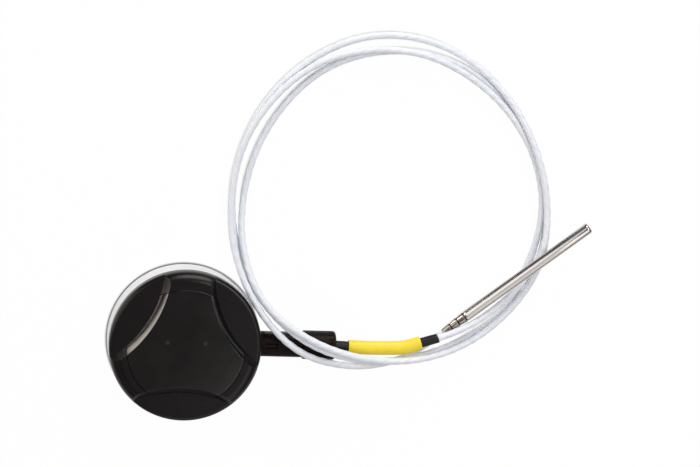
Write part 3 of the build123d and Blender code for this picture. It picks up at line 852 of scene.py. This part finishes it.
def ringed_skin(name, rings, material, crease=30):
    sides = len(rings[0])
    faces = []
    for row in range(len(rings) - 1):
        for count in range(sides):
            a, b = row * sides + count, row * sides + (count + 1) % sides
            faces.append((a, b, b + sides, a + sides))
    last = (len(rings) - 1) * sides
    faces += [tuple(reversed(range(sides))), tuple(range(last, last + sides))]
    mesh = bpy.data.meshes.new(name)
    mesh.from_pydata([point for points in rings for point in points], [], faces)
    mesh.polygons.foreach_set("use_smooth", [True] * len(faces))
    mesh.set_sharp_from_angle(angle=math.radians(crease))
    mesh.materials.append(material)
    piece = bpy.data.objects.new(name, mesh)
    scene.collection.objects.link(piece)
    print(name, "faces:", len(faces))
    return piece


# %% [markdown]
# The black shrink tube grips the cable where it leaves the plug, and a short yellow one is
# shrunk over its middle. Heat leaves a shrink tube slightly lumpy and its cut end uneven, so
# a noise moves the rings in and out, and those near an end also back and forth. The line under
# both is one smooth spline, and the yellow one uses the stretch of it between its own ends.

# %% Shrink tubes
SLEEVE_ROUTE = [
    (80.3, 0.0, 9.0), (90.0, -0.6, 9.0), (103.0, -0.85, 9.0), (115.0, -0.6, 9.0),
    (121.5, -0.25, 9.0), (127.0, 1.4, 9.0), (134.0, 3.6, 9.0), SLEEVE_END,
]
SLEEVE_RADIUS = 2.95 * MM
LABEL_RADIUS = 3.85 * MM
LABEL_FROM, LABEL_TO = 90.7 * MM, 131.0 * MM
BROAD_LUMPS, SMALL_LUMPS = 0.28, 0.8
LIP_LENGTH, LIP_DEPTH = 0.5, 0.10 * MM
CUT_LENGTH, CUT_WAVES = 2.5, 1.6


def stations_between(line, start, end):
    points = [line[0]] if line[0].x >= start else []
    for before, after in zip(line, line[1:]):
        for limit in (start, end):
            if before.x < limit < after.x:
                points.append(before.lerp(after, (limit - before.x) / (after.x - before.x)))
        if start < after.x < end:
            points.append(after)
    return points


def closing_ring(points, middle, share):
    return [middle + (point - middle) * share for point in points]


def shrink_tube(name, stations, radius, taper, inner, lump, ragged, material, sides=40):
    steps = [after - before for before, after in zip(stations, stations[1:])]
    ways = [step.normalized() for step in steps]
    ways.append(ways[-1])
    total = sum(step.length for step in steps)
    rings = []
    reached = 0.0
    for count, (middle, way) in enumerate(zip(stations, ways)):
        to_end = min(reached, total - reached) / MM

        def radius_at(turn, out):
            spot = (middle + out * radius) / MM
            swell = noise.noise(spot * BROAD_LUMPS) + 0.5 * noise.noise(spot * SMALL_LUMPS)
            lip = -LIP_DEPTH * max(0.0, 1.0 - to_end / LIP_LENGTH) ** 2
            pull = max(0.0, 1.0 - to_end / CUT_LENGTH)
            shift = ragged * pull * noise.noise(out * CUT_WAVES + way * 3.0)
            return radius - taper * reached / total + lump * swell + lip, shift

        rings.append(ring(middle, way, radius_at, sides))
        if count < len(steps):
            reached += steps[count].length
    rings.insert(0, closing_ring(rings[0], stations[0], inner / radius))
    rings.append(closing_ring(rings[-1], stations[-1], inner / radius))
    return ringed_skin(name, rings, material, crease=40)


sleeve_curve = smooth_line("sleeve route", [Vector(point) * MM for point in SLEEVE_ROUTE])
sleeve_line = [vertex.co.copy() for vertex in sleeve_curve.vertices]
black_tube = moulded(
    "black shrink tube", (0.0045, 0.0042, 0.0042), (0.0075, 0.0070, 0.0070),
    rough=0.42, grain=0.5 * MM, depth=0.05 * MM, specular=0.28, tint=(1.0, 0.92, 0.93),
)
sleeve = shrink_tube(
    "shrink_sleeve", sleeve_line, SLEEVE_RADIUS,
    taper=0.3 * MM, inner=1.7 * MM, lump=0.12 * MM, ragged=1.4 * MM, material=black_tube,
)
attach(sleeve, "root")
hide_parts("strain_sleeve")

yellow_tube = moulded(
    "yellow shrink tube", (0.84, 0.64, 0.026), (0.89, 0.70, 0.038),
    rough=0.34, grain=0.9 * MM, depth=0.04 * MM,
)
label = shrink_tube(
    "label_band", stations_between(sleeve_line, LABEL_FROM, LABEL_TO), LABEL_RADIUS,
    taper=0.0, inner=2.6 * MM, lump=0.05 * MM, ragged=0.15 * MM, material=yellow_tube,
)
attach(label, "root")
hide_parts("label_sleeve")

# %% [markdown]
# The probe is a polished stainless tube with a rounded, closed end. The cable is held in its
# other end by a crimp: three barrels, each wider than the last, pressed by a tool with eight
# jaws and parted by narrow grooves. The flats of the jaws and the round shoulder at the end
# of each barrel are what catch the light there. The profile gives each ring's place along the
# probe and its radius, both in millimetres, then how flat the jaws press it and how far they
# are turned.

# %% Probe
PROBE_RADIUS = 3.0
PROBE_LENGTH = 100.0
PROBE_WAY = Vector(frame["record"]["mounts"][1]["axis"])
TIP_ROUND = 1.1
TIP_STEPS = 6
SHAFT_MIDDLE = 57.0
CRIMP_STEPS = [(1.95, 2.3, 5.8), (2.3, 2.65, 4.8), (2.6, 2.9, 4.8)]
BARREL_HEAD = [(0.02, -0.22, 0.0), (0.15, -0.04, 0.3), (0.5, 0.02, 0.8)]
BARREL_SHOULDER = [
    (1.9, -0.06, 0.9), (1.3, 0.02, 0.5), (1.0, 0.05, 0.15), (0.75, 0.02, 0.0),
    (0.58, -0.08, 0.0), (0.5, -0.30, 0.0), (0.08, -0.30, 0.0),
]
SHAFT_SHOULDER = [(0.0, 2.60), (0.12, 2.82), (0.45, 2.95), (1.0, 3.0), (1.6, 3.0)]
JAWS = 8
JAW_DEPTH = 0.45
JAW_TURN = 0.31


def probe_profile():
    profile = [(0.0, 1.7, 0.0, 0.0)]
    reached = 0.0
    for count, (near, far, length) in enumerate(CRIMP_STEPS):
        phase = JAW_TURN * count
        end = reached + length
        profile += [(reached + on, near + swell, flat, phase) for on, swell, flat in BARREL_HEAD]
        profile += [(end - to, far + swell, flat, phase) for to, swell, flat in BARREL_SHOULDER]
        reached = end
    profile += [(reached + on, radius, 0, 0) for on, radius in SHAFT_SHOULDER]
    profile.append((SHAFT_MIDDLE, PROBE_RADIUS, 0, 0))
    for step in range(TIP_STEPS + 1):
        turn = math.radians(90 * step / TIP_STEPS)
        place = PROBE_LENGTH - TIP_ROUND * (1 - math.sin(turn))
        profile.append((place, PROBE_RADIUS - TIP_ROUND * (1 - math.cos(turn)), 0, 0))
    return profile


def steel_probe(material, sides=96):
    start = Vector(PROBE_START) * MM
    way = PROBE_WAY.normalized()
    jaw = 2 * math.pi / JAWS
    rings = []
    for place, radius, flat, phase in probe_profile():

        def radius_at(turn, out):
            off = (turn / jaw + phase) % 1.0 - 0.5
            pressed = math.cos(jaw / 2) / math.cos(off * jaw)
            return radius * MM * (1.0 - JAW_DEPTH * flat * (1.0 - pressed)), 0.0

        rings.append(ring(start + way * place * MM, way, radius_at, sides))
    return ringed_skin("steel_probe", rings, material, crease=24)


# %% [markdown]
# A colour ramp read along the probe's axis paints shade into the grooves and the mouth of the
# crimp, and darkens the whole crimp a little as a painted darker reflection of what lies round
# it. The steel itself has fine lines along the tube from drawing.

# %% Probe finish
# Painted shade in the grooves and at the mouth, and a painted darkening over the whole crimp.
GROOVE_PAINTED_SHADE = (0.09, 0.065, 0.048)
CRIMP_PAINTED_DARKENING = (0.62, 0.585, 0.555)
UNDARKENED = (1.0, 1.0, 1.0)
MOUTH_FADE = (0.05, 0.35)
GROOVE_FADES = (-0.85, -0.55, 0.02, 0.3)


def painted_crimp_shade():
    painted_tones = [(0.0, GROOVE_PAINTED_SHADE), (MOUTH_FADE[0], GROOVE_PAINTED_SHADE), (MOUTH_FADE[1], CRIMP_PAINTED_DARKENING)]
    end = 0.0
    for count, (near, far, length) in enumerate(CRIMP_STEPS):
        end += length
        beyond = UNDARKENED if count == len(CRIMP_STEPS) - 1 else CRIMP_PAINTED_DARKENING
        tones = (CRIMP_PAINTED_DARKENING, GROOVE_PAINTED_SHADE, GROOVE_PAINTED_SHADE, beyond)
        painted_tones += [(end + offset, tone) for offset, tone in zip(GROOVE_FADES, tones)]
    return [(place / PROBE_LENGTH, painted_tone) for place, painted_tone in painted_tones]


# Multiplies the steel's colour by the painted shade read along the probe's axis.
def paint_crimp_shade(material):
    tree = material.node_tree
    base = tree.nodes["Principled BSDF"].inputs["Base Color"]
    offset = vector_calc(tree, "SUBTRACT", object_place(tree), Vector(PROBE_START) * MM)
    along = vector_calc(tree, "DOT_PRODUCT", offset, PROBE_WAY)
    share = calc(tree, "DIVIDE", along, PROBE_LENGTH * MM)
    painted_tone = ramp(tree, share, painted_crimp_shade())
    feed(tree, base, vector_calc(tree, "MULTIPLY", base.links[0].from_socket, painted_tone))


steel = metal(
    "polished stainless", (0.60, 0.560, 0.540), (0.66, 0.620, 0.598),
    rough=0.13, grain=0.35 * MM, depth=0.003 * MM, stretch=(1, 1, 0.03),
    turn=PROBE_WAY.rotation_difference(Vector((0, 0, 1))).to_euler(),
)
paint_crimp_shade(steel)
probe = steel_probe(steel)
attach(probe, "root")
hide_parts("probe_sheath")
